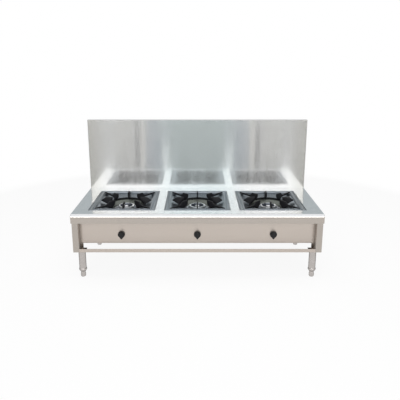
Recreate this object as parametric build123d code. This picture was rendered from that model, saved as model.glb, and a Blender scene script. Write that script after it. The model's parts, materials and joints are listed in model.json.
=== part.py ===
"""Low gas stockpot stove with three burners in a row, a splashback and four adjustable legs.

Millimetres, +Z up. The floor is z = 0, the origin is at the middle of the footprint, the front is
towards -Y and +X is to the right of someone who stands in front of it.
"""

from build123d import *
from math import atan2, cos, degrees, radians, sin
import os

# Overall size
width = 1800.0  # worktop, end to end
depth = 700.0  # worktop nose to the splashback's rear
top_height = 500.0  # floor to the worktop's face
splash_height = 575.0  # splashback above the worktop
underbody_height = 212.0  # floor to the body's bottom edge

# Sheet thickness
top_sheet = 1.5
body_sheet = 1.5
splash_sheet = 1.2
pan_sheet = 1.2

# Worktop
apron_height = 66.0  # top face to the aprons' lower edge
nose_radius = 24.0
side_radius = 5.0
hem_height = 10.0
side_overhang = 6.0  # worktop beyond the side panels
front_overhang = 5.0  # worktop beyond the front flanges
rear_overhang = 5.0
seat_drop = 12.0  # top face to the ledge that carries pan and rim
seat_width = 20.0

# Splashback
splash_depth = 25.0
splash_radius = 4.0
splash_lip = 15.0
brace_width = 60.0
brace_flange = 15.0
brace_offset = 450.0  # brace centre from the middle

# Body
flange_width = 44.0  # front strips at both ends
panel_recess = 50.0  # strips to the control panel
panel_gap = 3.0  # panels to the ends, clear of the bends
tab_width = 20.0
rear_flange = 30.0
bottom_flange = 35.0
bend_radius = 3.0
rail_height = 26.0
rail_depth = 40.0
rail_hem = 10.0
air_gap = 25.0  # lower rail to the control panel
panel_return = 18.0

# Support channels and burner straps
channel_width = 40.0
channel_height = 50.0
channel_flange = 20.0
strap_width = 40.0
strap_thickness = 3.0
strap_offset = 60.0  # strap centre from the burner's axis
strap_inset = 2.0  # strap's upright inside the channel's flange

# Burner stations
burner_count = 3
burner_pitch = 550.0
burner_setback = 335.0  # worktop nose to the burners' axes

# Rim, drip pan and pan support
rim_size = 480.0
rim_opening = 400.0
rim_gap = 3.0  # rim to the cut-out
rim_bead = 8.0
rim_groove = 20.0
rim_lip = 6.0
rim_crown = 1.5  # beads above the worktop
rim_corner = 6.0
rim_ledge_drop = 4.0  # worktop to the seat of the claws' tails
corner_pad = 35.0
pan_gap = 1.0
pan_slope_width = 43.0
pan_floor_drop = 34.0  # worktop to the pan's flat floor
bowl_radius = 148.0
pan_hole_radius = 110.0
bowl_drop = 76.0
pan_lip = 8.0
claw_count = 8
claw_thickness = 10.0
claw_rise = 25.0  # pot seat above the worktop
claw_inner = 105.0
claw_outer = 160.0
claw_corner = 4.0
claw_lean = 3.0  # inner edge, seat to chin
claw_chin = 4.0  # worktop to the chin
claw_foot = 3.0  # claws' lower edge above the ring's underside
claw_tip_gap = 6.0  # straight claws' tips to the rim
tip_rise = 1.0
tip_drop = 2.0
shoulder_run = 4.0
shoulder_drop = 9.0
sweep_run = 18.0
sweep_height = 8.0
knee_run = 58.0  # claw's outer edge to the start of its tail
tail_height = 4.0
tail_taper = 1.0
tail_belly = 7.0
heel_run = 7.0
heel_drop = 3.0
tail_gap = 3.0  # tail ends to the rim's inner lip
ring_inner = 138.0
ring_outer = 150.0
ring_drop = 24.0
ring_height = 8.6

# Burner
head_radius = 92.0
head_drop = 60.0  # worktop to the outer ring's crown
inner_ring_drop = 40.0
inner_ring_radius = 60.0
ring_wall = 17.0
inner_ring_wall = 11.0
cap_radius = 17.0
cap_drop = 45.0
cap_bevel = 3.0
head_plate = 6.0
seat_depth = 76.0  # worktop to the head's seat
lug_length = 14.0
lug_depth = 6.0
lug_gap = 1.5  # lugs to the bowl's wall
lugs = 3
outer_ports = 30
inner_ports = 18
port_width = 3.0
port_depth = 6.0
crown_gaps = 6
crown_gap_width = 9.0
bowl_floor_drop = 114.0
burner_bowl_radius = 90.0
bowl_wall = 8.0
casting_wall = 4.0
neck_radius = 30.0
tube_radius = 23.0
mouth_radius = 32.0
mouth_length = 20.0
bell_length = 24.0
tube_length = 160.0
air_windows = 3
window_angle = 62.0
window_inner = 18.0
window_outer = 26.0
hub_radius = 14.0
hub_bore = 8.0
hub_length = 5.0
shutter_sheet = 2.0
shutter_gap = 0.3
shutter_inset = 1.0  # disc inside the mouth's edge
shutter_tab = 8.0
running_gap = 0.05  # radial play of turning and sliding fits

# Gas line and taps
pipe_radius = 13.45
pipe_bore = 10.5
pipe_drop = 35.0  # taps' axes to the manifold's axis
pipe_setback = 125.0  # worktop nose to the manifold's axis
pipe_left_end = 610.0
pipe_right_end = 800.0
panel_hole_gap = 3.0  # rear panel's hole to the inlet pipe
cap_length = 12.0
cap_wall = 2.0
inlet_offset = 775.0  # inlet to the right of the middle
inlet_bore = 10.0
inlet_radius = 13.2
inlet_length = 17.0
inlet_inset = 1.0  # inlet's end inside the splashback's rear
tee_radius = 17.0
tee_sleeve_radius = 16.0
tee_front = 19.0  # manifold's axis to the tee's blind end
tee_reach = 24.0  # tee's centre to its open ends
tee_socket = 12.0
branch_radius = 13.0
branch_height = 18.0
nipple_radius = 9.0
tap_side = 28.0
tap_length = 50.0
tap_edge = 4.0
bonnet_radius = 12.0
bonnet_length = 8.0
bonnet_wall = 5.0
outlet_radius = 9.0
outlet_length = 14.0
plunger_radius = 8.0
plunger_length = 6.0
plunger_gap = 0.3  # plunger at rest to the bonnet
spring_room = 4.0
push_travel = 4.0
stem_radius = 4.0
stem_flat = 1.2
stem_socket = 20.0  # stem inside the knob
stem_hole_radius = 6.0
injector_thread = 5.0
injector_flats = 16.0
injector_head = 6.0
injector_nose = 9.0

# Knob
knob_radius = 25.0
knob_point = 35.5  # axis to the pointer's tip
knob_tip_width = 5.0
knob_flank = 58.0  # degrees below the horizontal where the pointer's flanks start
knob_skirt = 8.0
knob_depth = 28.0
knob_grip_radius = 19.0
knob_grip_depth = 20.0
knob_bevel = 2.0
ridge_width = 12.0
ridge_length = 44.0
ridge_corner = 4.0
knob_clearance = 5.0  # knob to the panel
knob_drop = 15.5  # middle of the seen panel to the knobs' axes

# Legs and feet
leg_radius = 25.5
leg_wall = 1.5
leg_inset_x = 55.5  # worktop end to the legs' axes
leg_inset_y = 60.0
leg_plate = 64.0
leg_plate_thickness = 3.0
collar_radius = 28.0
collar_base_radius = 20.0
collar_cone = 11.0  # collar's lower edge to its full radius
collar_band = 10.0
collar_taper = 3.0
foot_height = 45.0
foot_radius = 18.3
foot_base_radius = 13.0
foot_curve = 9.0  # floor to the full radius
foot_bulge = (16.9, 3.8)  # radius and height of a point on the rounded end
foot_shoulder = 24.0  # floor to the end of the full radius
foot_neck_radius = 15.5
foot_neck = 38.0  # floor to the neck
foot_gap = 0.3
foot_socket = 33.0
screw_radius = 8.0
screw_length = 128.0
screw_plug = 20.0

# Brackets and bolts
bracket_width = 60.0
bracket_thickness = 3.0
bracket_foot = 20.0
bolt_flats = 13.0
bolt_head = 5.3
leg_bolt_offset = 24.0
bracket_bolt_inset = 5.0  # channel's wall to the bracket's bolts

over = 1.0  # cutters beyond the faces they cut

# Places that follow from the sizes
nose_y = -depth / 2
rear_y = depth / 2
body_x = width / 2 - side_overhang
front_y = nose_y + front_overhang
back_y = rear_y - rear_overhang
panel_y = front_y + panel_recess
panel_bottom = underbody_height + rail_height + air_gap
sheet_under = top_height - top_sheet
channel_bottom = sheet_under - channel_height
burner_y = nose_y + burner_setback
burner_xs = [burner_pitch * (n - (burner_count - 1) / 2) for n in range(burner_count)]
channel_xs = [burner_pitch * (n - burner_count / 2) for n in range(burner_count + 1)]
tap_z = (panel_bottom + top_height - apron_height) / 2 - knob_drop
pipe_z = tap_z - pipe_drop
pipe_y = nose_y + pipe_setback
mouth_y = burner_y - tube_length
leg_x = width / 2 - leg_inset_x
leg_y = depth / 2 - leg_inset_y
tap_front_y = pipe_y - tap_length / 2
tap_back_y = pipe_y + tap_length / 2
bonnet_y = tap_front_y - bonnet_length
plunger_y = bonnet_y + bonnet_wall + plunger_gap
knob_y = panel_y - knob_clearance
stem_y = knob_y - stem_socket
half_channel = channel_width / 2
side_names = {-1: "left", 1: "right"}
end_names = {-1: "front", 1: "rear"}
station_names = ["left", "middle", "right"]


def name_of(stem, n):
    """Node name of a piece that each burner station has once."""
    if n < len(station_names):
        return f"{stem}_{station_names[n]}"
    return f"{stem}_{n + 1}"


def slab(x, y, z):
    """Solid between two values along each axis."""
    middle = Pos((x[0] + x[1]) / 2, (y[0] + y[1]) / 2, (z[0] + z[1]) / 2)
    return middle * Box(x[1] - x[0], y[1] - y[0], z[1] - z[0])


def post(radius, z, x=0.0, y=0.0):
    """Upright round bar between two heights."""
    return Pos(x, y, (z[0] + z[1]) / 2) * Cylinder(radius, z[1] - z[0])


def spindle(radius, y, x, z):
    """Round bar along Y between two depths."""
    turned = Rot(90, 0, 0) * Cylinder(radius, y[1] - y[0])
    return Pos(x, (y[0] + y[1]) / 2, z) * turned


def square(half, corner, z):
    """Square slab with rounded corners, centred on the axis."""
    outline = RectangleRounded(2 * half, 2 * half, corner)
    return Pos(0, 0, z[0]) * extrude(outline, z[1] - z[0])


def folded(points, thickness, plane, length, radius=bend_radius, side=Side.LEFT):
    """Bent sheet: a line of folds given its thickness, then drawn out along the plane's normal."""
    line = FilletPolyline(*points, radius=radius)
    section = make_face(offset(line, thickness, kind=Kind.INTERSECTION, side=side, closed=True).edges())
    return extrude(plane * section, length)


def turned(points):
    """Solid of revolution about Z from an (r, z) outline."""
    outline = make_face(Polyline(*points, close=True))
    return revolve(Plane.XZ * outline, Axis.Z)


def turned_y(points, x, z):
    """Solid of revolution about a line along Y from an (r, y) outline."""
    outline = make_face(Polyline(*[(r, y) for r, y in points], close=True))
    return Pos(x, 0, z) * revolve(outline, Axis.Y)


def bolt(x, y, z, down=True):
    """Hexagon bolt head with its bearing face at z."""
    low = z - bolt_head if down else z
    outline = RegularPolygon(bolt_flats / 2, 6, major_radius=False)
    return Pos(x, y, low) * extrude(outline, bolt_head)


def save(shape, node):
    """Write one node."""
    export_step(shape, f"parts/{node}.step")


def tray(inset):
    """The worktop's outer form, or its hollow when inset by the sheet."""
    high = top_height - inset
    low = top_height - apron_height
    half = width / 2 - inset
    form = slab((-half, half), (nose_y + inset, rear_y - inset), (low, high))
    nose = form.edges().filter_by(Axis.X).group_by(Axis.Z)[-1].sort_by(Axis.Y)[0]
    form = fillet(nose, nose_radius - inset)
    ends = form.faces().sort_by(Axis.X)
    rims = ends[0].edges() + ends[-1].edges()
    back = rear_y - inset - over
    rims = [edge for edge in rims if edge.center().Z > low + over and edge.center().Y < back]
    return fillet(rims, side_radius - inset)


def worktop():
    """Folded sheet with aprons, hems and a ledged cut-out at each burner."""
    low = top_height - apron_height
    sheet = tray(0) - tray(top_sheet)
    half = width / 2 - top_sheet
    hem = slab((-half, half), (nose_y + top_sheet, rear_y - top_sheet), (low, low + hem_height))
    inner = half - top_sheet
    hem -= slab((-inner, inner), (nose_y + 2 * top_sheet, rear_y - 2 * top_sheet), (low, low + hem_height))
    sheet += hem
    cut = rim_size / 2 + rim_gap
    ledge_top = top_height - seat_drop
    ledge_low = ledge_top - top_sheet
    corner = rim_corner + rim_gap
    for x in burner_xs:
        at = Pos(x, burner_y, 0)
        sheet -= at * square(cut, corner, (ledge_top, top_height + over))
        well = square(cut + top_sheet, corner + top_sheet, (ledge_low, sheet_under))
        well -= square(cut, corner, (ledge_top, top_height))
        well -= square(cut - seat_width, corner, (ledge_low, ledge_top))
        sheet += at * well
    return sheet


def splashback():
    """Tall folded pan that is open at the back, with lips round its rear edge."""
    front = rear_y - splash_depth
    top = top_height + splash_height
    half = width / 2
    form = slab((-half, half), (front, rear_y), (top_height, top))
    edges = form.faces().sort_by(Axis.Y)[0].edges().sort_by(Axis.Z)[1:]
    form = fillet(edges, splash_radius)
    inner = slab(
        (-half + splash_sheet, half - splash_sheet),
        (front + splash_sheet, rear_y - splash_sheet),
        (top_height + splash_sheet, top - splash_sheet),
    )
    edges = inner.faces().sort_by(Axis.Y)[0].edges().sort_by(Axis.Z)[1:]
    form -= fillet(edges, splash_radius - splash_sheet)
    opening = slab(
        (-half + splash_lip, half - splash_lip),
        (rear_y - splash_sheet, rear_y),
        (top_height + splash_lip, top - splash_lip),
    )
    return form - opening


def splashback_braces():
    """Upright hat sections between the splashback's face and its rear lips."""
    front = rear_y - splash_depth + splash_sheet
    rear = rear_y - splash_sheet - body_sheet
    low = top_height + splash_sheet
    length = splash_height - splash_sheet - splash_radius
    half = brace_width / 2
    edge = half + brace_flange
    points = [(-edge, front), (-half, front), (-half, rear), (half, rear), (half, front), (edge, front)]
    hat = folded(points, body_sheet, Plane.XY, length)
    return Compound([Pos(side * brace_offset, 0, low) * hat for side in (-1, 1)])


def side_panel(side):
    """End panel: tab, return and strip at the front, flanges at the rear, top and bottom."""
    tab_y = panel_y + body_sheet
    strip_x = body_x - flange_width
    points = [
        (strip_x - tab_width, tab_y),
        (strip_x, tab_y),
        (strip_x, front_y),
        (body_x, front_y),
        (body_x, back_y),
        (body_x - rear_flange, back_y),
    ]
    height = sheet_under - underbody_height
    panel = Pos(0, 0, underbody_height) * folded(points, body_sheet, Plane.XY, height)
    panel -= slab((0, width), (nose_y, nose_y + nose_radius), (sheet_under - nose_radius, top_height))
    wall = body_x - body_sheet
    bottom = (underbody_height, underbody_height + body_sheet)
    panel += slab((body_x - bottom_flange, wall), (front_y + rail_depth, back_y - rail_depth), bottom)
    top = (sheet_under - body_sheet, sheet_under)
    panel += slab((body_x - tab_width, wall), (panel_y + tab_width, back_y - tab_width), top)
    return panel if side > 0 else mirror(panel, Plane.YZ)


def control_panel():
    """Long panel behind the end strips, folded back along both edges, with a hole for each tap."""
    half = body_x - flange_width - panel_gap
    top = sheet_under - nose_radius
    points = [
        (panel_y + panel_return, panel_bottom),
        (panel_y, panel_bottom),
        (panel_y, top),
        (panel_y + panel_return, top),
    ]
    panel = Pos(-half, 0, 0) * folded(points, body_sheet, Plane.YZ, 2 * half, side=Side.RIGHT)
    for side in (-1, 1):
        x = sorted((side * half, side * (half - tab_width)))
        fold = (panel_y + body_sheet, panel_y + panel_return)
        for edge in (panel_bottom, top - bend_radius):
            panel -= slab(x, fold, (edge, edge + bend_radius))
    for x in burner_xs:
        panel -= spindle(stem_hole_radius, (panel_y - over, panel_y + body_sheet + over), x, tap_z)
    return panel


def rear_panel():
    """Plain closing panel inside the rear flanges, on the rear rail's hem, with the inlet's hole."""
    half = body_x - body_sheet - panel_gap
    outer = back_y - body_sheet
    low = underbody_height + rail_height
    panel = slab((-half, half), (outer - body_sheet, outer), (low, sheet_under - nose_radius))
    return panel - spindle(pipe_radius + panel_hole_gap, (outer - body_sheet, outer), inlet_offset, pipe_z)


def lower_rail(end):
    """Angle along the bottom edge of the body, hemmed inside along its top."""
    face = front_y if end < 0 else back_y
    half = body_x - (flange_width if end < 0 else rear_flange)
    top = underbody_height + rail_height
    points = [(face, top), (face, underbody_height), (face - end * rail_depth, underbody_height)]
    side = Side.LEFT if end < 0 else Side.RIGHT
    rail = Pos(-half, 0, 0) * folded(points, body_sheet, Plane.YZ, 2 * half, side=side)
    hem = sorted((face - end * body_sheet, face - 2 * end * body_sheet))
    return rail + slab((-half, half), hem, (top - rail_hem, top))


def support_channels():
    """Hat channels under the worktop, front to rear, between and beside the burners."""
    half = channel_width / 2
    edge = half + channel_flange
    start = panel_y + tab_width
    length = back_y - tab_width - start
    flange_top = channel_bottom + body_sheet
    points = [
        (-edge, flange_top),
        (-half, flange_top),
        (-half, sheet_under),
        (half, sheet_under),
        (half, flange_top),
        (edge, flange_top),
    ]
    hat = folded(points, body_sheet, Plane.XZ, -length, side=Side.RIGHT)
    return Compound([Pos(x, start, 0) * hat for x in channel_xs])


def burner_straps():
    """Two bent straps under each burner, hung from the channels on both sides."""
    outer = burner_pitch / 2 - channel_width / 2
    upright = outer - channel_flange - strap_inset
    seat = top_height - bowl_floor_drop
    points = [
        (-outer, channel_bottom),
        (-upright, channel_bottom),
        (-upright, seat),
        (upright, seat),
        (upright, channel_bottom),
        (outer, channel_bottom),
    ]
    strap = folded(points, strap_thickness, Plane.XZ, -strap_width, side=Side.RIGHT)
    starts = [burner_y + end * strap_offset - strap_width / 2 for end in (-1, 1)]
    return Compound([Pos(x, start, 0) * strap for x in burner_xs for start in starts])


def drip_pan():
    """Pressed pan: flange, four sloped sides, flat floor, bowl and a lipped hole for the burner."""
    flange_top = top_height - seat_drop + pan_sheet
    floor = top_height - pan_floor_drop
    brim = rim_opening - 2 * pan_gap
    low = top_height - bowl_drop
    slope = degrees(atan2(pan_slope_width, flange_top - floor))
    inner = Pos(0, 0, flange_top) * extrude(Rectangle(brim, brim), floor - flange_top, taper=slope)
    inner += turned([(0, floor), (bowl_radius, floor), (pan_hole_radius, low), (0, low)])
    pan = square(rim_size / 2 - pan_gap, rim_corner, (flange_top - pan_sheet, flange_top))
    pan += Pos(0, 0, -pan_sheet) * inner
    pan -= inner
    pan += post(pan_hole_radius + pan_sheet, (low - pan_sheet, low + pan_lip))
    return pan - post(pan_hole_radius, (low - pan_sheet, low + pan_lip))


def rim():
    """Cast square frame: outer bead, groove, inner lip, ledge and a pad in each inner corner."""
    base = top_height - seat_drop + pan_sheet
    crown = top_height + rim_crown
    face = top_height - rim_crown / 2
    ledge = top_height - rim_ledge_drop
    outer = rim_size / 2
    opening = rim_opening / 2
    frame = square(outer, rim_corner, (base, crown))
    frame = chamfer(frame.faces().sort_by(Axis.Z)[-1].edges(), rim_crown)
    groove = 2 * (outer - rim_bead)
    lip = groove - 2 * rim_groove
    seat = lip - 2 * rim_lip
    frame -= Pos(0, 0, face) * extrude(Rectangle(groove, groove) - Rectangle(lip, lip), crown - face)
    frame -= Pos(0, 0, ledge) * extrude(Rectangle(seat, seat), crown - ledge)
    frame -= Pos(0, 0, base) * extrude(Rectangle(rim_opening, rim_opening), crown - base)
    inner = opening - corner_pad
    outline = make_face(Polyline((opening, opening), (inner, opening), (opening, inner), close=True))
    pad = Pos(0, 0, base) * extrude(outline, ledge - base)
    for quarter in range(4):
        frame += Rot(0, 0, 90 * quarter) * pad
    return frame


def straight_claw():
    """Side view of a claw that ends in a point at the rim's side."""
    seat = top_height + claw_rise
    tip = rim_opening / 2 - claw_tip_gap
    ring_low = top_height - ring_drop - ring_height
    outline = Polyline(
        (claw_inner, seat),
        (claw_outer, seat),
        (tip, top_height + tip_rise),
        (tip, top_height - tip_drop),
        (ring_outer, ring_low + claw_foot),
        (ring_outer, ring_low),
        (ring_inner, ring_low),
        (claw_inner + claw_lean, top_height - claw_chin),
        close=True,
    )
    return make_face(outline)


def tailed_claw():
    """Side view of a corner claw, whose long tail rests on the rim's corner pad."""
    seat = top_height + claw_rise
    diagonal = 1 / cos(radians(45))
    end = (rim_size / 2 - rim_bead - rim_groove - rim_lip) * diagonal - claw_thickness / 2 - tail_gap
    heel = (rim_opening - corner_pad) / 2 * diagonal - tip_rise
    rest = top_height - rim_ledge_drop
    ring_low = top_height - ring_drop - ring_height
    shoulder = (claw_outer + shoulder_run, seat - shoulder_drop)
    knee = (claw_outer + knee_run, top_height + tail_height + tail_taper)
    front = Polyline((claw_inner, seat), (claw_outer, seat), shoulder)
    sweep_down = ThreePointArc(shoulder, (claw_outer + sweep_run, top_height + sweep_height), knee)
    tail = Polyline(
        knee,
        (end, top_height + tail_height),
        (end, rest),
        (heel, rest),
        (heel - heel_run, rest - heel_drop),
        (claw_outer + sweep_run, rest - tail_belly),
        (ring_outer, ring_low + claw_foot),
        (ring_outer, ring_low),
        (ring_inner, ring_low),
        (claw_inner + claw_lean, top_height - claw_chin),
        (claw_inner, seat),
    )
    return make_face(front.edges() + [sweep_down] + tail.edges())


def grate():
    """Cast pan support: a ring with claws, long-tailed towards the corners."""
    ring = (top_height - ring_drop - ring_height, top_height - ring_drop)
    casting = post(ring_outer, ring) - post(ring_inner, ring)
    for n in range(claw_count):
        view = tailed_claw() if n % 2 else straight_claw()
        claw = extrude(Plane.XZ * view, claw_thickness / 2, both=True)
        corners = claw.edges().filter_by(Axis.Y).sort_by(Axis.X)
        corner = [edge for edge in corners if edge.center().Z > top_height + claw_rise - 1][0]
        claw = fillet(corner, claw_corner)
        casting += Rot(0, 0, 360 / claw_count * n) * claw
    return casting


def windows(start, thickness):
    """Air openings round the hub, shared by the mixing tube's mouth and its shutter."""
    half = radians(window_angle / 2)
    low = window_inner * cos(half)
    high = window_outer * cos(half)
    slope = sin(half) / cos(half)
    outline = make_face(Polyline(
        (-low * slope, low),
        (low * slope, low),
        (high * slope, high),
        (-high * slope, high),
        close=True,
    ))
    opening = Pos(0, start, 0) * extrude(Plane.XZ * outline, -thickness)
    turns = [Rot(0, 360 / air_windows * n, 0) for n in range(air_windows)]
    return [Pos(0, 0, tap_z) * turn * opening for turn in turns]


def burner_body():
    """One casting: bell mouth, mixing tube, elbow and the bowl that the head sits on."""
    seat = top_height - seat_depth
    floor = top_height - bowl_floor_drop
    wall = casting_wall
    bell_y = mouth_y + mouth_length

    def passage(shrink, start, low):
        """Mouth, bell, tube and neck, or the hollow in them."""
        mixing = turned_y([
            (0, start),
            (mouth_radius - shrink, start),
            (mouth_radius - shrink, bell_y),
            (tube_radius - shrink, bell_y + bell_length),
            (tube_radius - shrink, burner_y),
            (0, burner_y),
        ], 0, tap_z)
        return mixing + post(neck_radius - shrink, (low, floor + wall), 0, burner_y)

    body = passage(0, mouth_y, tap_z - neck_radius)
    body += post(burner_bowl_radius, (floor, seat), 0, burner_y)
    body -= passage(wall, mouth_y + wall, tap_z - neck_radius + wall)
    body -= post(burner_bowl_radius - bowl_wall, (floor + wall, seat), 0, burner_y)
    body += spindle(hub_radius, (mouth_y - hub_length, mouth_y + wall), 0, tap_z)
    body -= spindle(hub_bore, (mouth_y - hub_length, mouth_y + wall), 0, tap_z)
    for opening in windows(mouth_y, wall):
        body -= opening
    return body


def air_shutter():
    """Slotted disc that turns on the mouth's hub, with a tab to turn it by."""
    high = mouth_y - shutter_gap
    low = high - shutter_sheet
    disc = spindle(mouth_radius - shutter_inset, (low, high), 0, tap_z)
    tab = (tap_z - mouth_radius - shutter_tab, tap_z - hub_radius)
    disc += slab((-shutter_tab / 2, shutter_tab / 2), (low, high), tab)
    disc -= spindle(hub_radius + running_gap, (low, high), 0, tap_z)
    for opening in windows(low, shutter_sheet):
        disc -= opening
    return disc


def burner_head():
    """Lift-off head: base plate, notched outer ring, raised inner ring, cap and locating lugs."""
    seat = top_height - seat_depth
    plate = seat + head_plate
    outer_top = top_height - head_drop
    inner_top = top_height - inner_ring_drop
    outer_inside = head_radius - ring_wall
    inner_inside = inner_ring_radius - inner_ring_wall
    head = post(head_radius, (seat, outer_top)) - post(outer_inside, (plate, outer_top))
    head += post(inner_ring_radius, (plate, inner_top)) - post(inner_inside, (plate, inner_top))
    cap = post(cap_radius, (plate, top_height - cap_drop))
    head += chamfer(cap.faces().sort_by(Axis.Z)[-1].edges(), cap_bevel)
    gap = slab(
        (outer_inside - over, head_radius + over),
        (-crown_gap_width / 2, crown_gap_width / 2),
        (plate, outer_top),
    )
    for n in range(crown_gaps):
        head -= Rot(0, 0, 360 / crown_gaps * n) * gap
    rings = ((outer_ports, head_radius, outer_top), (inner_ports, inner_ring_radius, inner_top))
    for count, radius, high in rings:
        across = (-port_width / 2, port_width / 2)
        port = slab((radius - port_depth, radius + over), across, (high - port_depth, high))
        for n in range(count):
            head -= Rot(0, 0, 360 / count * (n + 0.5)) * port
    reach = burner_bowl_radius - bowl_wall - lug_gap
    lug = slab((reach - lug_length, reach), (-lug_length / 2, lug_length / 2), (seat - lug_depth, seat))
    for n in range(lugs):
        head += Rot(0, 0, 360 / lugs * n) * lug
    return head


def gas_manifold():
    """Pipe with a cap at each end, a branch for each tap and a tee for the inlet to the rear."""
    end_y = rear_y - inlet_inset
    thread = (end_y - inlet_length, end_y)
    span = (-pipe_left_end, pipe_right_end)
    middle = sum(span) / 2
    length = span[1] - span[0]

    def along(radius, length, x):
        """Round bar along X."""
        return Pos(x, pipe_y, pipe_z) * Rot(0, 90, 0) * Cylinder(radius, length)

    pipe = along(pipe_radius, length, middle)
    pipe += along(tee_sleeve_radius, 2 * tee_reach, inlet_offset)
    pipe += spindle(tee_radius, (pipe_y - tee_front, pipe_y + tee_reach), inlet_offset, pipe_z)
    pipe += spindle(pipe_radius, (pipe_y + tee_reach - tee_socket, thread[0]), inlet_offset, pipe_z)
    pipe += spindle(inlet_radius, thread, inlet_offset, pipe_z)
    for x in burner_xs:
        pipe += post(branch_radius, (pipe_z, pipe_z + branch_height), x, pipe_y)
    pipe -= along(pipe_bore, length, middle)
    pipe -= spindle(inlet_bore, (pipe_y, end_y), inlet_offset, pipe_z)
    for x in burner_xs:
        pipe -= post(nipple_radius, (pipe_z, pipe_z + branch_height), x, pipe_y)
    pipe += along(pipe_radius + cap_wall, cap_length, span[0] - cap_length / 2)
    pipe += along(pipe_radius + cap_wall, cap_length, span[1] + cap_length / 2)
    return pipe


def manifold_brackets():
    """Hangers from the middle channels that clamp round the manifold."""
    grip = pipe_radius + running_gap
    outer = grip + bracket_thickness
    front = pipe_y - outer
    half = bracket_width / 2
    hanger = slab((-half, half), (front, front + bracket_thickness), (pipe_z, channel_bottom))
    hanger += slab(
        (-half, half),
        (front, front + bracket_foot),
        (channel_bottom - bracket_thickness, channel_bottom),
    )
    turn = Pos(0, pipe_y, pipe_z) * Rot(0, 90, 0)
    hanger += turn * Cylinder(outer, bracket_width)
    hanger -= turn * Cylinder(grip, bracket_width)
    return Compound([Pos(x, 0, 0) * hanger for x in channel_xs[1:-1]])


def tap_body():
    """Brass tap: square barrel, round bonnet, nipple into the branch and outlet for the injector."""
    half = tap_side / 2
    barrel = slab((-half, half), (tap_front_y, tap_back_y), (tap_z - half, tap_z + half))
    body = chamfer(barrel.edges().filter_by(Axis.Y), tap_edge)
    body += spindle(bonnet_radius, (bonnet_y, tap_front_y), 0, tap_z)
    body += spindle(outlet_radius, (tap_back_y, tap_back_y + outlet_length), 0, tap_z)
    body += post(nipple_radius - running_gap, (pipe_z + branch_height / 3, tap_z), 0, pipe_y)
    chamber = (bonnet_y + bonnet_wall, plunger_y + plunger_length + push_travel + spring_room)
    body -= spindle(plunger_radius, chamber, 0, tap_z)
    body -= spindle(stem_radius + running_gap, (bonnet_y, chamber[0]), 0, tap_z)
    return body - spindle(injector_thread, (tap_back_y, tap_back_y + outlet_length), 0, tap_z)


def tap_plunger():
    """Disc that the stem presses on, sliding in the tap's chamber."""
    return spindle(plunger_radius - running_gap, (plunger_y, plunger_y + plunger_length), 0, tap_z)


def stem_bar(end):
    """Stem up to a depth, with the flat that drives it."""
    bar = spindle(stem_radius, (stem_y, end), 0, tap_z)
    flat = (tap_z + stem_radius - stem_flat, tap_z + stem_radius)
    return bar - slab((-stem_radius, stem_radius), (stem_y, knob_y), flat)


def knob():
    """Knob: teardrop skirt with its pointer down, round grip and a finger ridge."""
    flank = radians(knob_flank)
    touch = (knob_radius * cos(flank), -knob_radius * sin(flank))
    tip = (knob_tip_width / 2, -knob_point)
    outline = make_face([
        CenterArc((0, 0), knob_radius, -knob_flank, 180 + 2 * knob_flank),
        Polyline((-touch[0], touch[1]), (-tip[0], tip[1]), tip, touch),
    ])
    skirt = Pos(0, knob_y, tap_z) * extrude(Plane.XZ * outline, knob_skirt)
    grip = spindle(knob_grip_radius, (knob_y - knob_grip_depth, knob_y), 0, tap_z)
    grip = chamfer(grip.faces().sort_by(Axis.Y)[0].edges(), knob_bevel)
    ridge = extrude(Plane.XZ * RectangleRounded(ridge_width, ridge_length, ridge_corner), knob_depth)
    body = skirt + grip + Pos(0, knob_y, tap_z) * ridge
    return body - stem_bar(knob_y)


def injector():
    """Brass injector screwed into the tap's outlet, its nose inside the mixing tube's hub."""
    root = tap_back_y + outlet_length
    outline = RegularPolygon(injector_flats / 2, 6, major_radius=False)
    jet = Pos(0, root, tap_z) * extrude(Plane.XZ * outline, -injector_head)
    return jet + spindle(injector_thread, (tap_back_y, root + injector_head + injector_nose), 0, tap_z)


def leg():
    """Round leg: top plate, tube, collar and the threaded plug for the foot's screw."""
    plate_low = underbody_height - leg_plate_thickness
    plug_top = foot_height + screw_plug
    half = leg_plate / 2
    form = slab((-half, half), (-half, half), (plate_low, underbody_height))
    full = foot_height + collar_cone
    form += post(leg_radius, (full, plate_low))
    form += turned([
        (0, foot_height),
        (collar_base_radius, foot_height),
        (collar_radius, full),
        (collar_radius, full + collar_band),
        (leg_radius, full + collar_band + collar_taper),
        (0, full + collar_band + collar_taper),
    ])
    form -= post(leg_radius - leg_wall, (plug_top, plate_low))
    return form - post(screw_radius + running_gap, (foot_height, plug_top))


def foot_screw():
    """Screwed stem of a foot."""
    low = foot_height - foot_socket
    return post(screw_radius, (low, low + screw_length))


def foot():
    """Bullet-shaped foot with a blind socket for its screw."""
    top = foot_height - foot_gap
    base = Polyline((0, top), (0, 0), (foot_base_radius, 0))
    curve = ThreePointArc((foot_base_radius, 0), foot_bulge, (foot_radius, foot_curve))
    side = Polyline(
        (foot_radius, foot_curve),
        (foot_radius, foot_shoulder),
        (foot_neck_radius, foot_neck),
        (foot_neck_radius, top),
        (0, top),
    )
    form = revolve(Plane.XZ * make_face(base.edges() + [curve] + side.edges()), Axis.Z)
    return form - post(screw_radius + running_gap, (foot_height - foot_socket, foot_height))


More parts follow.
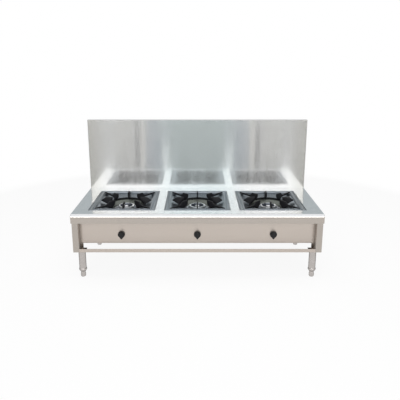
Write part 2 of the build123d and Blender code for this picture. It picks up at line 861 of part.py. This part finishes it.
def bolts():
    """Bolt heads under the straps' ends, the brackets' feet and the legs' plates."""
    tab = burner_pitch / 2 - channel_width / 2 - channel_flange / 2
    signs = [(across, along) for across in (-1, 1) for along in (-1, 1)]
    group = []
    for x in burner_xs:
        for across, along in signs:
            place = (x + across * tab, burner_y + along * strap_offset)
            group.append(bolt(*place, channel_bottom - strap_thickness))
    for x in channel_xs[1:-1]:
        for side in (-1, 1):
            place = (x + side * (half_channel + bracket_bolt_inset), pipe_y)
            group.append(bolt(*place, channel_bottom - bracket_thickness))
    for side, end in signs:
        for away in (-leg_bolt_offset, leg_bolt_offset):
            place = (side * (leg_x + away), end * (leg_y - away))
            group.append(bolt(*place, underbody_height - leg_plate_thickness))
    return Compound(group)


os.makedirs("parts", exist_ok=True)

save(worktop(), "worktop")
save(splashback(), "splashback")
save(splashback_braces(), "splashback_braces")
for side, side_name in side_names.items():
    save(side_panel(side), f"side_panel_{side_name}")
save(control_panel(), "control_panel")
save(rear_panel(), "rear_panel")
for end, end_name in end_names.items():
    save(lower_rail(end), f"lower_rail_{end_name}")
save(support_channels(), "support_channels")
save(burner_straps(), "burner_straps")
save(gas_manifold(), "gas_manifold")
save(manifold_brackets(), "manifold_brackets")
save(Compound([Pos(x, 0, 0) * injector() for x in burner_xs]), "injectors")
save(bolts(), "bolts")

centred = {"drip_pan": drip_pan(), "rim": rim(), "grate": grate(), "burner_head": burner_head()}
placed = {stem: Pos(0, burner_y, 0) * shape for stem, shape in centred.items()}
placed["burner_body"] = burner_body()
placed["air_shutter"] = air_shutter()
placed["tap_body"] = tap_body()
placed["tap_plunger"] = tap_plunger()
placed["tap_stem"] = stem_bar(plunger_y)
placed["knob"] = knob()
for stem, shape in placed.items():
    for n, x in enumerate(burner_xs):
        save(Pos(x, 0, 0) * shape, name_of(stem, n))

legs = {"leg": leg(), "foot_screw": foot_screw(), "foot": foot()}
for side, side_name in side_names.items():
    for end, end_name in end_names.items():
        for stem, shape in legs.items():
            save(Pos(side * leg_x, end * leg_y, 0) * shape, f"{stem}_{end_name}_{side_name}")
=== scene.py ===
"""Looks of a low gas stockpot stove with three burners, built round its packed construction model.

Metres, +Z up, floor at z = 0, front towards -Y, +X to the right of someone who stands in front.
"""

import json
from math import atan2, pi, radians

import bpy
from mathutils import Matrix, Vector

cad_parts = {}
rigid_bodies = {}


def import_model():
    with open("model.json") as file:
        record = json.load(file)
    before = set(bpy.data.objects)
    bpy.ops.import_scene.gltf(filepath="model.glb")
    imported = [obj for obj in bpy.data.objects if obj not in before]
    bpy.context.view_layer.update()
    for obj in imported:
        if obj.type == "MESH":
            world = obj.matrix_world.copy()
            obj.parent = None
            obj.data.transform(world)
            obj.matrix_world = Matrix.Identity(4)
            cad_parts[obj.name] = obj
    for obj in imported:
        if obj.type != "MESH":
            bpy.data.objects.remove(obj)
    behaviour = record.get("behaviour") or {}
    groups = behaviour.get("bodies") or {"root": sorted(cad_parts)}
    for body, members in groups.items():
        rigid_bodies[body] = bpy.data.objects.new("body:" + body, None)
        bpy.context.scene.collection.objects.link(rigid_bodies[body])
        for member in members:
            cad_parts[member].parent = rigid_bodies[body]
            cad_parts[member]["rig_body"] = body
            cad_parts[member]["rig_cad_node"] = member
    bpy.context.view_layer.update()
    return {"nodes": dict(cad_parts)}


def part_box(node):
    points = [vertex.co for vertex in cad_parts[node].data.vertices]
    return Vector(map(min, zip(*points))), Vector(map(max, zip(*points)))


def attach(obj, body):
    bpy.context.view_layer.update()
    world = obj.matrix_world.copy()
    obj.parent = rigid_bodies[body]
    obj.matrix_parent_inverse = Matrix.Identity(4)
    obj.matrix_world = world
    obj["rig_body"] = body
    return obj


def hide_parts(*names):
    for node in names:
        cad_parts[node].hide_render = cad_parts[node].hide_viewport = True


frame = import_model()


# Camera and studio
# A plain pale floor under two soft lamps, and a camera in front that looks slightly down on the
# worktop. Cards round the stove and strips on the floor show only in its metal, where they make
# the light and dark bands that a studio leaves on brushed steel.

def wire(tree, kind, inputs=None, **settings):
    """One shader node with its settings, and values or other nodes' outputs on its inputs."""
    node = tree.nodes.new("ShaderNode" + kind)
    for name, value in settings.items():
        setattr(node, name, value)
    for name, value in (inputs or {}).items():
        if isinstance(value, bpy.types.NodeSocket):
            tree.links.new(value, node.inputs[name])
        else:
            node.inputs[name].default_value = value
    return node


def arithmetic(tree, operation, first, second=0.0, third=0.0):
    """Output of a Math node."""
    inputs = {0: first, 1: second, 2: third}
    return wire(tree, "Math", inputs, operation=operation).outputs[0]


def seen_directly(tree):
    """1 for rays from the camera, a mirror or a window, and 0 for the light that falls on things."""
    path = wire(tree, "LightPath").outputs
    direct = arithmetic(tree, "MAXIMUM", path["Is Camera Ray"], path["Is Glossy Ray"])
    return arithmetic(tree, "MAXIMUM", direct, path["Is Transmission Ray"])


eye_height = 1.609
eye_distance = 3.417
look_down = 13.7
bpy.ops.object.camera_add(
    location=(0, -eye_distance, eye_height), rotation=(radians(90 - look_down), 0, 0)
)
camera = bpy.context.object
camera.name = "camera"
camera.data.sensor_width = 36
camera.data.lens = 41.445
camera.data.shift_x = 0.0065
camera.data.shift_y = -0.0875
bpy.context.scene.camera = camera
bpy.context.scene.view_settings.view_transform = "Standard"

ambient = 0.45
world = bpy.data.worlds.new("studio")
bpy.context.scene.world = world
world.use_nodes = True
tree = world.node_tree
tree.nodes.clear()
level = arithmetic(tree, "MULTIPLY_ADD", seen_directly(tree), 1 - ambient, ambient)
backdrop = wire(tree, "Background", {"Color": (1, 1, 1, 1), "Strength": level})
wire(tree, "OutputWorld", {"Surface": backdrop.outputs[0]})

floor_radius = 14.0
floor_corners = 96
paper_white = (0.93, 0.93, 0.93, 1)
fade_start = 1.5
fade_end = 3.2
shadow_lift = 0.9  # how far the paper near the stove is turned to plain white
bpy.ops.mesh.primitive_circle_add(vertices=floor_corners, radius=floor_radius, fill_type="NGON")
floor = bpy.context.object
floor.name = "floor"
floor_paper = bpy.data.materials.new("floor_paper")
floor_paper.use_nodes = True
tree = floor_paper.node_tree
tree.nodes.clear()
place = wire(tree, "TexCoord").outputs["Object"]
away = wire(tree, "VectorMath", {0: place}, operation="LENGTH").outputs["Value"]
fade = wire(
    tree, "MapRange",
    {"Value": away, "From Min": fade_start, "From Max": fade_end},
    interpolation_type="SMOOTHSTEP",
).outputs[0]
fade = arithmetic(tree, "MAXIMUM", fade, shadow_lift)
fade = arithmetic(tree, "MULTIPLY", fade, seen_directly(tree))
paper = wire(tree, "BsdfDiffuse", {"Color": paper_white}).outputs[0]
white = wire(tree, "Emission", {"Color": (1, 1, 1, 1)}).outputs[0]
mixed = wire(tree, "MixShader", {0: fade, 1: paper, 2: white}).outputs[0]
wire(tree, "OutputMaterial", {"Surface": mixed})
floor.data.materials.append(floor_paper)


def lamp(name, location, tilt, size, radiance):
    """Soft rectangular lamp of a given brightness, tilted up from straight down."""
    bpy.ops.object.light_add(type="AREA", location=location, rotation=(tilt, 0, 0))
    light = bpy.context.object
    light.name = name
    light.data.shape = "RECTANGLE"
    light.data.size = size[0]
    light.data.size_y = size[1]
    light.data.energy = radiance * pi * size[0] * size[1]
    return light


# The metal doesn't mirror the overhead lamp, which would burn out the worktop's rounded nose.
lamp("front_lamp", location=(0, -5.2, 2.35), tilt=radians(72), size=(7.0, 2.0), radiance=3.6)
overhead = lamp("overhead_lamp", location=(0, -0.4, 3.8), tilt=0, size=(4.0, 2.4), radiance=1.8)
overhead.visible_glossy = False


def card(name, location, rotation, size, colour):
    """Flat card of a plain colour that only the metal sees."""
    bpy.ops.mesh.primitive_plane_add(size=1, location=location, rotation=rotation)
    piece = bpy.context.object
    piece.name = name
    piece.scale = (*size, 1)
    paint = bpy.data.materials.new(name)
    paint.use_nodes = True
    tree = paint.node_tree
    tree.nodes.clear()
    glow = wire(tree, "Emission", {"Color": (*colour, 1)}).outputs[0]
    wire(tree, "OutputMaterial", {"Surface": glow})
    piece.data.materials.append(paint)
    piece.visible_camera = False
    piece.visible_diffuse = False
    piece.visible_transmission = False
    piece.visible_shadow = False


strip_height = 0.002
strips_near = -2.2
strips_far = -8.2
light_strip_end = -4.2


def floor_strip(name, start, end, colour, near=strips_near, far=strips_far):
    """Two strips on the floor that show in the splashback, between two distances from its middle.

    They run towards the camera's own image behind the splashback, so they stand upright in it.
    """
    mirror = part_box("splashback")[0].y
    behind = mirror + (mirror + eye_distance)
    middle = (near + far) / 2
    reach = (behind - middle) / (behind - mirror)
    size = ((end - start) * reach, near - far)
    for side, sign in (("left", -1), ("right", 1)):
        x = sign * (start + end) / 2 * reach
        turn = (0, 0, atan2(x, behind - middle))
        card(name + "_" + side, (x, middle, strip_height), turn, size, colour)


floor_strip("side_strip", 0.54, 0.69, (1.05, 1.04, 1.0))
floor_strip("dark_strip", 0.48, 0.515, (0.0, 0.0, 0.0))
floor_strip("warm_strip", 0.43, 0.47, (1.5, 1.45, 1.35))
floor_strip("blue_strip", 0.31, 0.42, (0.55, 0.63, 0.75))
floor_strip("light_strip", 0.235, 0.3, (2.0, 2.0, 2.0), far=light_strip_end)
floor_strip("far_strip", 0.225, 0.3, (0.65, 0.7, 0.75), near=light_strip_end)
floor_strip("middle_strip", 0.0, 0.215, (0.8, 0.82, 0.8))

upright = (radians(90), 0, 0)
upright_sideways = (radians(90), 0, radians(90))
grey = (0.5, 0.5, 0.5)
card("front_card", (0, -8.3, 0.55), upright, size=(9.0, 1.1), colour=(0.45, 0.45, 0.45))
card("rear_card", (0, 1.6, 1.3), upright, size=(9.0, 2.6), colour=(0.49, 0.53, 0.54))
card("left_card", (-3.2, 0.4, 1.2), upright_sideways, size=(4.0, 2.4), colour=grey)
card("right_card", (3.2, 0.4, 1.2), upright_sideways, size=(4.0, 2.4), colour=grey)


# Worktop
# One stainless sheet, brushed along its length, folded down all round with a rounded nose at the
# front. It lies on the body's panels and carries the three burner stations.

first_colour = 6  # numbers of the Mix node's colour sockets
second_colour = 7
mixed_colour = 2


def finish(name):
    """A new material with its tree, its main shader and the surface's own coordinates."""
    material = bpy.data.materials.new(name)
    material.use_nodes = True
    tree = material.node_tree
    main = tree.nodes["Principled BSDF"]
    return material, tree, main, wire(tree, "TexCoord").outputs["Object"]


def pattern(tree, place, scale, detail=2.0, rough=0.5):
    """Noise stretched by its scale on each axis, per metre."""
    stretched = wire(tree, "Mapping", {"Vector": place, "Scale": scale}).outputs[0]
    inputs = {"Vector": stretched, "Scale": 1.0, "Detail": detail, "Roughness": rough}
    return wire(tree, "TexNoise", inputs).outputs["Fac"]


def toned(colour, factor):
    """Colour made lighter or darker."""
    return [min(1.0, part * factor) for part in colour]


def blend_colours(tree, amount, low, high):
    """Colour between two, by an amount from 0 to 1."""
    inputs = {"Factor": amount, first_colour: (*low, 1), second_colour: (*high, 1)}
    return wire(tree, "Mix", inputs, data_type="RGBA").outputs[mixed_colour]


def spread(tree, noise, low, high, noise_low=0.3, noise_high=0.7):
    """Noise output turned into a range of values."""
    inputs = {"Value": noise, "From Min": noise_low, "From Max": noise_high}
    inputs.update({"To Min": low, "To Max": high})
    return wire(tree, "MapRange", inputs).outputs[0]


def ramp(tree, value, start, end):
    """Smooth step from 0 at the start to 1 at the end."""
    inputs = {"Value": value, "From Min": start, "From Max": end}
    return wire(tree, "MapRange", inputs, interpolation_type="SMOOTHSTEP").outputs[0]


def position(tree, axis):
    """Place along an axis, in the piece's own coordinates."""
    place = wire(tree, "TexCoord").outputs["Object"]
    return wire(tree, "SeparateXYZ", {0: place}).outputs[axis]


def facing(tree, axis):
    """How far a face looks along an axis, from -1 to 1."""
    normal = wire(tree, "NewGeometry").outputs["Normal"]
    return wire(tree, "SeparateXYZ", {0: normal}).outputs[axis]


def brushed(name, colour, axis, rough, stretch):
    """Brushed stainless with its scratches along one axis."""
    scratches = 3600.0  # to the metre, across them
    scratch_length = 50  # times their width
    clouds = 26.0  # broad uneven tone, to the metre
    clouds_along = 1.1
    scratch_share = 0.8
    contrast = 0.04
    depth = 0.01 / scratches
    material, tree, main, place = finish(name)
    along = "XYZ".index(axis)
    fine_scale = [scratches, scratches, scratches]
    fine_scale[along] = scratches / scratch_length
    broad_scale = [clouds, clouds, clouds]
    broad_scale[along] = clouds_along
    fine = pattern(tree, place, fine_scale, detail=3.0, rough=0.65)
    broad = pattern(tree, place, broad_scale)
    fine_tone = arithmetic(tree, "MULTIPLY", fine, scratch_share)
    tone = arithmetic(tree, "MULTIPLY_ADD", broad, 1 - scratch_share, fine_tone)
    dark = toned(colour, 1 - contrast)
    light = toned(colour, 1 + contrast)
    shade = blend_colours(tree, spread(tree, tone, 0.0, 1.0), dark, light)
    tree.links.new(shade, main.inputs["Base Color"])
    roughness = spread(tree, fine, *rough, noise_low=0.42, noise_high=0.58)
    tree.links.new(roughness, main.inputs["Roughness"])
    main.inputs["Metallic"].default_value = 1.0
    main.inputs["Anisotropic"].default_value = stretch
    across = wire(tree, "Tangent", direction_type="RADIAL", axis=axis).outputs[0]
    tree.links.new(across, main.inputs["Tangent"])
    relief = wire(tree, "Bump", {"Height": fine, "Distance": depth, "Strength": 1.0}).outputs[0]
    tree.links.new(relief, main.inputs["Normal"])
    return material


def dress(names, material):
    """Give CAD nodes their material."""
    for name in names:
        node = frame["nodes"][name]
        for place in node.material_slots:
            place.material = material
        if not node.material_slots:
            node.data.materials.append(material)


def recolour(material, tint, amount):
    """Multiply a material's colour by a tint, by an amount from 0 to 1."""
    tree = material.node_tree
    base = tree.nodes["Principled BSDF"].inputs["Base Color"]
    inputs = {"Factor": amount, first_colour: base.links[0].from_socket, second_colour: (*tint, 1)}
    mix = wire(tree, "Mix", inputs, data_type="RGBA", blend_type="MULTIPLY")
    tree.links.new(mix.outputs[mixed_colour], base)


# Painted shade: the aprons that are folded down are painted darker and warmer than the flat face, by
# how far each face turns from straight up.
apron_painted_shade = (0.595, 0.535, 0.475)
steel_top = brushed("steel_top", (0.8, 0.81, 0.825), "X", rough=(0.1, 0.24), stretch=0.6)
tree = steel_top.node_tree
recolour(steel_top, apron_painted_shade, ramp(tree, facing(tree, "Z"), start=0.7, end=0.1))
dress(["worktop"], steel_top)


# Splashback
# A tall stainless pan, open at the back, screwed to the worktop's rear edge. Two hat-shaped braces
# inside it keep its face flat.

# Painted shade and reflection: the splashback's steel is painted much darker than the worktop's, and
# its face is painted a little cooler and darker in its middle and warmer and a little darker towards
# its ends.
steel_splash = brushed("steel_splash", (0.435, 0.437, 0.43), "X", rough=(0.05, 0.48), stretch=1.0)
painted_cool_shade = (0.86, 0.935, 0.95)
cool_shade_edge = 0.5
cool_shade_middle = 0.15
painted_warm_reflection = (0.88, 0.87, 0.84)
warm_reflection_start = 0.72
warm_reflection_end = 0.9
tree = steel_splash.node_tree
outwards = arithmetic(tree, "ABSOLUTE", position(tree, "X"))
face = ramp(tree, facing(tree, "Y"), start=-0.5, end=-0.9)
cool_shade_mask = arithmetic(tree, "MULTIPLY", ramp(tree, outwards, cool_shade_edge, cool_shade_middle), face)
recolour(steel_splash, painted_cool_shade, cool_shade_mask)
warm_reflection_mask = arithmetic(tree, "MULTIPLY", ramp(tree, outwards, warm_reflection_start, warm_reflection_end), face)
recolour(steel_splash, painted_warm_reflection, warm_reflection_mask)
dress(["splashback", "splashback_braces"], steel_splash)


def mottled(name, colour, rough, scale=60.0, contrast=0.12, bump=0.0, metallic=1.0):
    """Metal or moulding with an uneven tone and, where it is cast, a fine grain."""
    cast_grain = 900.0
    material, tree, main, place = finish(name)
    mottle = pattern(tree, place, (scale, scale, scale), detail=4.0, rough=0.6)
    dark = toned(colour, 1 - contrast)
    light = toned(colour, 1 + contrast)
    shade = blend_colours(tree, spread(tree, mottle, 0.0, 1.0), dark, light)
    tree.links.new(shade, main.inputs["Base Color"])
    tree.links.new(spread(tree, mottle, *rough), main.inputs["Roughness"])
    main.inputs["Metallic"].default_value = metallic
    if bump:
        fine = pattern(tree, place, (cast_grain, cast_grain, cast_grain), rough=0.6)
        relief = wire(tree, "Bump", {"Height": fine, "Distance": bump, "Strength": 1.0}).outputs[0]
        tree.links.new(relief, main.inputs["Normal"])
    return material


def select_faces(piece, wanted):
    """Open a piece in edit mode with only the faces that a test on centre and normal picks."""
    bpy.ops.object.mode_set(mode="EDIT")
    bpy.ops.mesh.select_mode(type="FACE")
    bpy.ops.mesh.select_all(action="DESELECT")
    bpy.ops.object.mode_set(mode="OBJECT")
    for face in piece.data.polygons:
        face.select = wanted(face.center, face.normal)
    bpy.ops.object.mode_set(mode="EDIT")


sharp = radians(35)


def round_edges(piece, width, steps=2, overlap=False):
    """Round every sharp edge by a small radius."""
    edge = piece.modifiers.new("edge", "BEVEL")
    edge.width = width
    edge.segments = steps
    edge.limit_method = "ANGLE"
    edge.angle_limit = sharp
    edge.use_clamp_overlap = not overlap
    bpy.ops.object.modifier_apply(modifier="edge")
    bpy.ops.object.shade_smooth_by_angle(angle=sharp)


def settle(piece, location, rotation=(0, 0, 0)):
    """Turn and move a piece, with its place kept in its mesh."""
    piece.rotation_euler = rotation
    piece.location = location
    bpy.ops.object.transform_apply(location=True, rotation=True, scale=True)


def fasten(piece, material, body):
    """Give a new piece its finish and the body that it rides on."""
    piece.data.materials.clear()
    piece.data.materials.append(material)
    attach(piece, body)


screw_sides = 12
screw_radius = 0.0042
screw_rise = 0.0024
socket_radius = 0.0018
socket_depth = 0.0014
screw_bevel = 0.0007
facing_up = 0.9
screw_zinc = mottled("screw_zinc", (0.5, 0.51, 0.53), rough=(0.28, 0.4))


def screw_row(name, first, rotation, step, count):
    """Row of button-head screws with sunk sockets, the first one's seat at a point."""
    bpy.ops.object.select_all(action="DESELECT")
    bpy.ops.mesh.primitive_cylinder_add(
        vertices=screw_sides, radius=screw_radius, depth=screw_rise, location=(0, 0, screw_rise / 2)
    )
    head = bpy.context.object
    head.name = name
    bpy.ops.object.transform_apply(location=True, rotation=True, scale=True)
    select_faces(head, lambda centre, normal: normal.z > facing_up)
    bpy.ops.mesh.inset(thickness=screw_radius - socket_radius)
    bpy.ops.mesh.extrude_region_move(TRANSFORM_OT_translate={"value": (0, 0, -socket_depth)})
    bpy.ops.object.mode_set(mode="OBJECT")
    round_edges(head, screw_bevel, steps=3)
    settle(head, first, rotation)
    row = head.modifiers.new("row", "ARRAY")
    row.count = count
    row.use_relative_offset = False
    row.use_constant_offset = True
    row.constant_offset_displace = step
    bpy.ops.object.modifier_apply(modifier="row")
    fasten(head, screw_zinc, "stove")


splash_screws = 6
splash_screw_inset = 0.05
splash_screw_from_rear = 0.013
sheet = 0.0012
low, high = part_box("splashback")
first = (low.x + splash_screw_inset, high.y - splash_screw_from_rear, low.z + sheet)
step = (high.x - low.x - 2 * splash_screw_inset) / (splash_screws - 1)
screw_row("splashback_screws", first, (0, 0, 0), (step, 0, 0), splash_screws)


# Body
# Folded stainless panels: an end panel on each side, a control panel set back between them, and a
# rail along the bottom of the front and the rear.

# Painted reflection and shade: the same stainless is painted darker and warmer on the control panel,
# the rails and the end panels than on the worktop.
steel_front = brushed("steel_front", (0.5, 0.445, 0.4), "X", rough=(0.3, 0.38), stretch=0.7)
dress(["control_panel", "lower_rail_front", "lower_rail_rear"], steel_front)
steel_side = brushed("steel_side", (0.46, 0.42, 0.38), "Z", rough=(0.3, 0.38), stretch=0.6)
dress(["side_panel_left", "side_panel_right"], steel_side)


# Hidden steelwork
# The rear panel, the channels under the worktop and the straps that carry the burners are zinc
# coated sheet, with the soft crystal pattern that dipping leaves.

def zinc(name, colour):
    """Galvanised sheet: flat crystals, each with its own tone."""
    crystals = 70.0  # to the metre
    material, tree, main, place = finish(name)
    crystal = wire(tree, "TexVoronoi", {"Vector": place, "Scale": crystals, "Randomness": 1.0})
    tone = wire(tree, "SeparateColor", {0: crystal.outputs["Color"]}).outputs[0]
    shade = blend_colours(tree, tone, toned(colour, 0.9), toned(colour, 1.07))
    tree.links.new(shade, main.inputs["Base Color"])
    rough = wire(tree, "MapRange", {"Value": tone, "To Min": 0.36, "To Max": 0.52}).outputs[0]
    tree.links.new(rough, main.inputs["Roughness"])
    main.inputs["Metallic"].default_value = 1.0
    return material


zinc_sheet = zinc("zinc_sheet", (0.5, 0.51, 0.52))
dress(["rear_panel", "support_channels", "burner_straps", "manifold_brackets"], zinc_sheet)

rear_screws = 3
rear_screw_inset = 0.015
rear_screw_rise = 0.022
rear_screw_step = 0.075
rear_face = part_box("side_panel_left")[1].y
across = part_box("side_panel_right")[1].x - rear_screw_inset
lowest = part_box("rear_panel")[0].z + rear_screw_rise
for side, x in (("left", -across), ("right", across)):
    first = (x, rear_face, lowest)
    name = "rear_panel_screws_" + side
    screw_row(name, first, (radians(-90), 0, 0), (0, 0, rear_screw_step), rear_screws)


# Gas line and taps
# Steel pipe along the front with a branch under each brass tap. Each tap's outlet carries the
# injector that blows gas into its burner's mixing tube. The stove's bolts are zinc plated.

stations = ("left", "middle", "right")
weld = 0.00001  # corners nearer than this become one
tap_edge = 0.0006


def softened(node, name, material, body, width=0.0, overlap=False):
    """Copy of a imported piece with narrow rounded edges, which stands for that piece."""
    bpy.ops.object.select_all(action="DESELECT")
    piece = frame["nodes"][node].copy()
    piece.data = frame["nodes"][node].data.copy()
    piece.name = name
    piece.parent = None
    del piece["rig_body"]
    del piece["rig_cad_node"]
    bpy.context.collection.objects.link(piece)
    piece.select_set(True)
    bpy.context.view_layer.objects.active = piece
    bpy.ops.object.mode_set(mode="EDIT")
    bpy.ops.mesh.select_all(action="SELECT")
    bpy.ops.mesh.remove_doubles(threshold=weld)
    bpy.ops.mesh.dissolve_limited(angle_limit=radians(1))
    bpy.ops.object.mode_set(mode="OBJECT")
    bpy.ops.mesh.customdata_custom_splitnormals_clear()
    if width:
        round_edges(piece, width, overlap=overlap)
    fasten(piece, material, body)
    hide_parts(node)
    return piece


pipe_steel = mottled("pipe_steel", (0.2, 0.2, 0.205), rough=(0.4, 0.55))
dress(["gas_manifold"], pipe_steel)
brass = mottled("brass", (0.72, 0.5, 0.22), rough=(0.25, 0.4))
dress(["injectors"], brass)
for station in stations:
    softened("tap_body_" + station, "gas_tap_" + station, brass, "stove", tap_edge)
    dress(["tap_plunger_" + station, "tap_stem_" + station], brass)
bolt_zinc = mottled("bolt_zinc", (0.55, 0.56, 0.58), rough=(0.3, 0.42))
dress(["bolts"], bolt_zinc)


# Knobs
# Black heat-proof mouldings, each with a round skirt, a finger ridge and a pointed nub that points
# down when the gas is off. Each sits on its tap's stem, which has a flat to drive it.

def set_shine(material, shine):
    """How strongly a piece that isn't metal mirrors, where 0.5 is plain plastic."""
    material.node_tree.nodes["Principled BSDF"].inputs["Specular IOR Level"].default_value = shine


knob_edge = 0.0012
knob_black = mottled("knob_black", (0.01, 0.01, 0.011), rough=(0.32, 0.45), metallic=0.0)
set_shine(knob_black, 0.3)
for station in stations:
    node = "knob_" + station
    softened(node, "knob_moulding_" + station, knob_black, node, knob_edge)


# Burners
# Under each station a cast burner body with its mixing tube, a steel air shutter at the tube's
# mouth, and on top the lift-off burner head with its rings of ports.

low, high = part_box("rim_middle")
burner_y = (low.y + high.y) / 2
half_pitch = (low.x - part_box("rim_left")[0].x) / 2


def from_axis(tree):
    """Distance from the nearest burner's axis, in metres."""
    across = arithmetic(tree, "WRAP", position(tree, "X"), half_pitch, -half_pitch)
    along = arithmetic(tree, "SUBTRACT", position(tree, "Y"), burner_y)
    flat = wire(tree, "CombineXYZ", {"X": across, "Y": along}).outputs[0]
    return wire(tree, "VectorMath", {0: flat}, operation="LENGTH").outputs["Value"]


cast_grey = mottled("cast_grey", (0.3, 0.3, 0.3), rough=(0.5, 0.65), bump=0.0001)
dress(["air_shutter_" + station for station in stations], bolt_zinc)
burner_silver = mottled(
    "burner_silver", (0.92, 0.93, 0.95), rough=(0.25, 0.35), scale=30.0, contrast=0.05, bump=0.00003
)

# Painted shade: the head's walls are painted duller than its bright crowns, and the hollow inside its
# inner ring is painted dark.
painted_wall_shade = (0.6, 0.62, 0.65)
painted_hollow_shade = (0.3, 0.31, 0.33)
ring_rise = 0.03
crown_start = 0.003
crown_end = 0.008
hollow_edge = 0.052
hollow_radius = 0.05
tree = burner_silver.node_tree
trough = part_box("burner_head_left")[1].z - ring_rise
raised = ramp(tree, position(tree, "Z"), trough + crown_start, trough + crown_end)
flat = ramp(tree, facing(tree, "Z"), start=0.5, end=0.9)
crown = arithmetic(tree, "MULTIPLY", raised, flat)
wall_shade_mask = arithmetic(tree, "SUBTRACT", 1.0, crown)
recolour(burner_silver, painted_wall_shade, wall_shade_mask)
inside = ramp(tree, from_axis(tree), hollow_edge, hollow_radius)
recolour(burner_silver, painted_hollow_shade, arithmetic(tree, "MULTIPLY", wall_shade_mask, inside))

body_edge = 0.0015
head_edge = 0.0005
for station in stations:
    node = "burner_body_" + station
    softened(node, "burner_casting_" + station, cast_grey, "stove", body_edge)
    node = "burner_head_" + station
    name = "burner_crown_" + station
    softened(node, name, burner_silver, node, head_edge, overlap=True)


# Drip pans, rims and pan supports
# Each station has a pressed steel drip pan, a square frame that holds it down, and a cast iron pan
# support with eight claws. All three lift off.

def bend_edges(piece, least, most, shortest):
    """Open a piece in edit mode with its bends selected: long edges between two sloped faces."""
    sides = {}
    for face in piece.data.polygons:
        for key in face.edge_keys:
            sides.setdefault(key, []).append(face.normal)
    bpy.ops.object.mode_set(mode="EDIT")
    bpy.ops.mesh.select_mode(type="EDGE")
    bpy.ops.mesh.select_all(action="DESELECT")
    bpy.ops.object.mode_set(mode="OBJECT")
    points = piece.data.vertices
    for edge in piece.data.edges:
        ends = [points[end].co for end in edge.vertices]
        turn = sides[edge.key][0].angle(sides[edge.key][-1])
        edge.select = least < turn < most and (ends[0] - ends[1]).length > shortest
    bpy.ops.object.mode_set(mode="EDIT")


bowl_tint = (0.62, 0.6, 0.5)
bowl_edge = 0.152
bowl_radius = 0.143
pan_bend = 0.0025
rim_edge = 0.0008
claw_edge = 0.0012
# Painted shade and reflection: the pans' steel is painted darker and bluer than the worktop's. The
# bowl round each burner is darker and more olive than the rest of the pan.
pan_steel = brushed("pan_steel", (0.27, 0.3, 0.33), "X", rough=(0.25, 0.38), stretch=0.3)
tree = pan_steel.node_tree
recolour(pan_steel, bowl_tint, ramp(tree, from_axis(tree), bowl_edge, bowl_radius))
rim_metal = mottled("rim_metal", (0.24, 0.265, 0.292), rough=(0.3, 0.4))
cast_black = mottled("cast_black", (0.007, 0.007, 0.009), rough=(0.42, 0.6), bump=0.0002, metallic=0.0)
set_shine(cast_black, 0.25)
for station in stations:
    node = "drip_pan_" + station
    pan = softened(node, "pressed_pan_" + station, pan_steel, node)
    bend_edges(pan, least=radians(12), most=radians(80), shortest=0.004)
    bpy.ops.mesh.bevel(offset=pan_bend, segments=3, affect="EDGES", clamp_overlap=True)
    bpy.ops.object.mode_set(mode="OBJECT")
    bpy.ops.object.shade_smooth_by_angle(angle=sharp)
    node = "rim_" + station
    softened(node, "rim_casting_" + station, rim_metal, node, rim_edge)
    node = "grate_" + station
    name = "pan_support_" + station
    softened(node, name, cast_black, node, claw_edge, overlap=True)


# Legs and feet
# Four round stainless tubes, each bolted to the body by a plate at its top, with a collar at its
# foot. A bullet-shaped foot on a threaded stem screws into the collar and levels the stove.

thread_radius = 0.0079
thread_pitch = 0.002
thread_depth = 0.0012
thread_steps = 20
tooth_radius = thread_depth / 1.5  # a triangle with equal sides is one and a half radii high
tooth_stretch = 0.85 * thread_pitch / thread_depth  # its base is then just under one pitch
core_sides = 40
core_radius = thread_radius - 0.93 * thread_depth  # the teeth stand a little way into the core
core_edge = 0.0006


def threaded_stem(corner):
    """Stem of one foot: a core with a wound thread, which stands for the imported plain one."""
    node = "foot_screw_" + corner
    low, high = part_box(node)
    middle = (low + high) / 2
    bpy.ops.object.select_all(action="DESELECT")
    bpy.ops.mesh.primitive_circle_add(vertices=3, radius=tooth_radius)
    tooth = bpy.context.object
    tooth.scale = (tooth_stretch, 1, 1)
    settle(tooth, (thread_radius - tooth_radius, 0, thread_pitch / 2), (radians(90), radians(90), 0))
    wind = tooth.modifiers.new("wind", "SCREW")
    wind.screw_offset = thread_pitch
    wind.iterations = int((high.z - low.z) / thread_pitch) - 1
    wind.steps = thread_steps
    wind.render_steps = thread_steps
    bpy.ops.object.modifier_apply(modifier="wind")
    bpy.ops.object.mode_set(mode="EDIT")
    bpy.ops.mesh.select_all(action="SELECT")
    bpy.ops.mesh.fill_holes(sides=3)
    bpy.ops.mesh.normals_make_consistent(inside=False)
    bpy.ops.object.mode_set(mode="OBJECT")
    settle(tooth, (middle.x, middle.y, low.z))
    bpy.ops.mesh.primitive_cylinder_add(
        vertices=core_sides, radius=core_radius, depth=high.z - low.z, location=middle
    )
    stem = bpy.context.object
    stem.name = "threaded_stem_" + corner
    settle(stem, stem.location)
    round_edges(stem, core_edge)
    tooth.select_set(True)
    bpy.ops.object.join()
    fasten(stem, bolt_zinc, node)
    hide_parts(node)


leg_edge = 0.0008
foot_edge = 0.0012
leg_steel = mottled("leg_steel", (0.5, 0.47, 0.45), rough=(0.22, 0.3), scale=25.0, contrast=0.05)
glancing = leg_steel.node_tree.nodes["Principled BSDF"].inputs["Specular Tint"]
glancing.default_value = (0.05, 0.05, 0.05, 1)  # keeps the tubes' outlines dark
for corner in ("front_left", "front_right", "rear_left", "rear_right"):
    softened("leg_" + corner, "leg_tube_" + corner, leg_steel, "stove", leg_edge)
    node = "foot_" + corner
    softened(node, "bullet_foot_" + corner, leg_steel, node, foot_edge)
    threaded_stem(corner)
